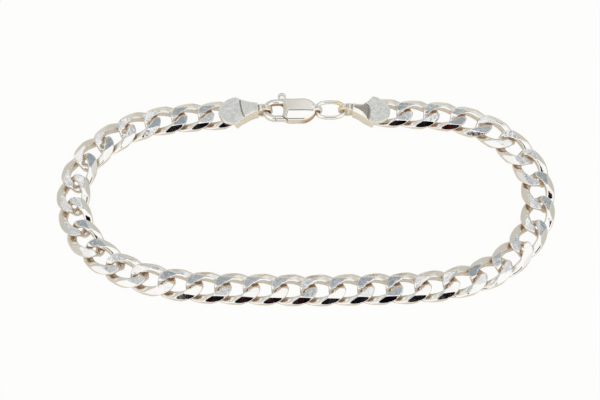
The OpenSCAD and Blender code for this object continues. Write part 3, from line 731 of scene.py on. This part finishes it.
x, y, degrees, z = clasp["place"]
shape = placed(ringPoints(jumpRing) + np.array([jumpRing["middle"], 0, 0]), x, y, degrees, z)
obj = addPiece("jumpRing", [(shape, "loop")], ringPolished, "bracelet", ["jump_ring"])
turn = np.linspace(0, 2 * np.pi, jumpRing["around"], endpoint=False)[:, None]
turn = turn + np.zeros((1, jumpRing["section"]))
solder = np.exp(-((turn - jumpRing["solderTurn"]) / jumpRing["solderWide"]) ** 2)
addShare(obj, "stainAndShade", jumpRing["solderStain"] * solder)
print("jump ring made")

# Half size and height in metres; the near colour fades to the far one between two distances in metres.
# The near cream and far grey are painted light falling off from the bracelet; glow and camera glow are
# how much of the sheet glows, in reflections and seen directly.
sheet = {"size": 3.0, "low": -0.00003, "near": "EEE5D5", "far": "C9C8C1", "fadeStart": 0.06,
         "fadeEnd": 0.25, "roughness": 0.8, "glow": 0.4, "cameraGlow": 0.95}


def makeFloor(facts):
    # A matt white sheet with painted light: creamy near the bracelet and greyer further off, as light
    # falling off with distance, which is what the silver mirrors from below. It also glows in part, which
    # lightens its shadows in what the silver mirrors; seen directly it glows white, blown out as in a
    # studio cut-out.
    size, low = facts["size"], facts["low"]
    mesh = bpy.data.meshes.new("floor")
    corners = [(-size, -size, low), (size, -size, low), (size, size, low), (-size, size, low)]
    mesh.from_pydata(corners, [], [(0, 1, 2, 3)])
    floor = bpy.data.objects.new("floor", mesh)
    bpy.context.scene.collection.objects.link(floor)
    material, tree, shader = newMaterial("whiteSheet")
    coords = addNode(tree, "ShaderNodeTexCoord")
    # painted light: cream near the middle, fading to grey further away
    distance = addNode(tree, "ShaderNodeVectorMath", {"operation": "LENGTH"}, {0: (coords, "Object")})
    fade = addNode(tree, "ShaderNodeMapRange",
                   {"From Min": facts["fadeStart"], "From Max": facts["fadeEnd"]},
                   {"Value": (distance, "Value")})
    card = addNode(tree, "ShaderNodeMix", {"data_type": "RGBA", 6: facts["near"], 7: facts["far"]},
                   {0: (fade, 0)})
    tree.links.new(card.outputs[2], shader.inputs["Base Color"])
    shader.inputs["Roughness"].default_value = facts["roughness"]
    # the sheet glows though it is no lamp: in part for reflections, and almost wholly, in white, seen
    # directly
    path = addNode(tree, "ShaderNodeLightPath")
    seen = addNode(tree, "ShaderNodeMix", {"data_type": "RGBA", 7: "FFFFFF"},
                   {0: (path, "Is Camera Ray"), 6: (card, 2)})
    glow = addNode(tree, "ShaderNodeEmission", {"Strength": 1.0}, {"Color": (seen, 2)})
    share = addNode(tree, "ShaderNodeMapRange", {"To Min": facts["glow"], "To Max": facts["cameraGlow"]},
                    {"Value": (path, "Is Camera Ray")})
    mixed = addNode(tree, "ShaderNodeMixShader", links={0: (share, 0), 1: (shader, "BSDF"), 2: (glow, 0)})
    output = [n for n in tree.nodes if n.type == "OUTPUT_MATERIAL"][0]
    tree.links.new(mixed.outputs[0], output.inputs["Surface"])
    mesh.materials.append(material)


# Angles in degrees. A part of the room, or a noise, goes from none to all between its two edges. Those of
# the ground, the ceiling, the front and behind are along the direction's Z or Y, those of the grey band,
# the windows and the dark place are degrees from their middles.
studio = {"strength": 1.08, "ceiling": "FFFFFF", "walls": "C9C6BC", "ground": "CCC9BF", "front": "FFFFFF",
          "groundEdge": (0.0, 0.3), "ceilingEdge": (0.5, 0.84), "frontEdge": (0.1, -0.35),
          "behindEdge": (0.0, 0.3), "greyLight": "99A2A8", "greyDark": "596B80",
          "greyHeight": 55.5, "greyEdge": (8.5, 5.5), "windowSide": 12.0, "windowEdge": (1.2, 2.6),
          "cloudScale": 13.0, "cloudDetail": 3.0, "cloudEdge": (0.31, 0.5),
          "spotScale": 29.9, "spotDetail": 2.0, "spotEdge": (0.5, 0.68),
          "redScale": 7.0, "redDetail": 0.0, "redEdge": (0.58, 0.68),
          "dark": "08040A", "darkRed": "421311", "darkWay": (0.0, -0.517, 0.856), "darkEdge": (18.5, 15.5)}


def makeWorld(facts):
    # a white room: a lighter ceiling over grey walls behind and beside; a clouded grey band behind, at
    # the height that the flat tops mirror, open at two tall windows; and a dark place round the camera,
    # with dark red patches, which the near bevels mirror
    world = bpy.data.worlds.new("studioRoom")
    bpy.context.scene.world = world
    world.use_nodes = True
    tree = world.node_tree
    tree.nodes.clear()
    coords = addNode(tree, "ShaderNodeTexCoord")
    way = addNode(tree, "ShaderNodeVectorMath", {"operation": "NORMALIZE"}, {0: (coords, "Generated")})
    parts = addNode(tree, "ShaderNodeSeparateXYZ", links={0: (way, 0)})

    # what each share goes by: along Z or Y, a noise, or an angle from the middle of its place
    sources = {"ground": (parts, "Z"), "ceiling": (parts, "Z"),
               "front": (parts, "Y"), "behind": (parts, "Y")}
    for name in ("cloud", "spot", "red"):
        noise = addNode(tree, "ShaderNodeTexNoise",
                        {"Scale": facts[name + "Scale"], "Detail": facts[name + "Detail"]},
                        {"Vector": (way, 0)})
        sources[name] = (noise, "Fac")
    height = addNode(tree, "ShaderNodeMath", {"operation": "ARCSINE"}, {0: (parts, "Z")})
    turn = addNode(tree, "ShaderNodeMath", {"operation": "ARCTAN2"}, {0: (parts, "X"), 1: (parts, "Y")})
    side = addNode(tree, "ShaderNodeMath", {"operation": "ABSOLUTE"}, {0: (turn, 0)})
    for name, angle, middle in (("grey", height, "greyHeight"), ("window", side, "windowSide")):
        off = addNode(tree, "ShaderNodeMath", {"operation": "SUBTRACT", 1: math.radians(facts[middle])},
                      {0: (angle, 0)})
        sources[name] = (addNode(tree, "ShaderNodeMath", {"operation": "ABSOLUTE"}, {0: (off, 0)}), 0)
    aim = addNode(tree, "ShaderNodeVectorMath", {"operation": "DOT_PRODUCT", 1: facts["darkWay"]},
                  {0: (way, 0)})
    sources["dark"] = (addNode(tree, "ShaderNodeMath", {"operation": "ARCCOSINE"}, {0: (aim, "Value")}), 0)
    shares = {}
    for name, source in sources.items():
        low, high = facts[name + "Edge"]
        if name in ("grey", "window", "dark"):
            low, high = math.radians(low), math.radians(high)
        ramp = addNode(tree, "ShaderNodeMapRange",
                       {"interpolation_type": "SMOOTHSTEP", "From Min": low, "From Max": high},
                       {"Value": source})
        shares[name] = (ramp, 0)
    # the grey band stays behind the bracelet, between the windows and in its clouds
    greyShare = shares["grey"]
    for name in ("behind", "window", "cloud"):
        part = addNode(tree, "ShaderNodeMath", {"operation": "MULTIPLY"}, {0: greyShare, 1: shares[name]})
        greyShare = (part, 0)

    # the room in layers, each over the one before it by its share
    walls = addNode(tree, "ShaderNodeMix", {"data_type": "RGBA", 6: facts["ground"], 7: facts["walls"]},
                    {0: shares["ground"]})
    room = addNode(tree, "ShaderNodeMix", {"data_type": "RGBA", 7: facts["ceiling"]},
                   {0: shares["ceiling"], 6: (walls, 2)})
    front = addNode(tree, "ShaderNodeMix", {"data_type": "RGBA", 7: facts["front"]},
                    {0: shares["front"], 6: (room, 2)})
    grey = addNode(tree, "ShaderNodeMix",
                   {"data_type": "RGBA", 6: facts["greyLight"], 7: facts["greyDark"]}, {0: shares["spot"]})
    withGrey = addNode(tree, "ShaderNodeMix", {"data_type": "RGBA"},
                       {0: greyShare, 6: (front, 2), 7: (grey, 2)})
    dark = addNode(tree, "ShaderNodeMix", {"data_type": "RGBA", 6: facts["dark"], 7: facts["darkRed"]},
                   {0: shares["red"]})
    withDark = addNode(tree, "ShaderNodeMix", {"data_type": "RGBA"},
                       {0: shares["dark"], 6: (withGrey, 2), 7: (dark, 2)})
    path = addNode(tree, "ShaderNodeLightPath")
    seen = addNode(tree, "ShaderNodeMix", {"data_type": "RGBA", 7: "FFFFFF"},
                   {0: (path, "Is Camera Ray"), 6: (withDark, 2)})
    back = addNode(tree, "ShaderNodeBackground", {"Strength": facts["strength"]}, {"Color": (seen, 2)})
    addNode(tree, "ShaderNodeOutputWorld", links={"Surface": (back, 0)})


# What the photograph's own camera works out to: the middle of the picture in mm, degrees above the
# surface, mm from the bracelet, and a long lens and its film in mm. The clip distances are in metres.
view = {"target": (-1.102, -0.887, 1.0), "elevation": 58.85, "distance": 312.18, "lens": 100.02,
        "film": 36, "clip": (0.01, 20)}


def makeCamera(facts):
    # stands on the near side and looks down at the target by the elevation
    camera = bpy.data.objects.new("camera", bpy.data.cameras.new("camera"))
    bpy.context.scene.collection.objects.link(camera)
    tilt = math.radians(facts["elevation"])
    x, y, z = facts["target"]
    camera.location = (x * 0.001, (y - facts["distance"] * math.cos(tilt)) * 0.001,
                       (z + facts["distance"] * math.sin(tilt)) * 0.001)
    camera.rotation_euler = (math.pi / 2 - tilt, 0, 0)
    camera.data.lens = facts["lens"]
    camera.data.sensor_width = facts["film"]
    camera.data.clip_start, camera.data.clip_end = facts["clip"]
    bpy.context.scene.camera = camera


makeFloor(sheet)
makeWorld(studio)
makeCamera(view)
bpy.context.scene.view_settings.view_transform = "Standard"
print("studio made")
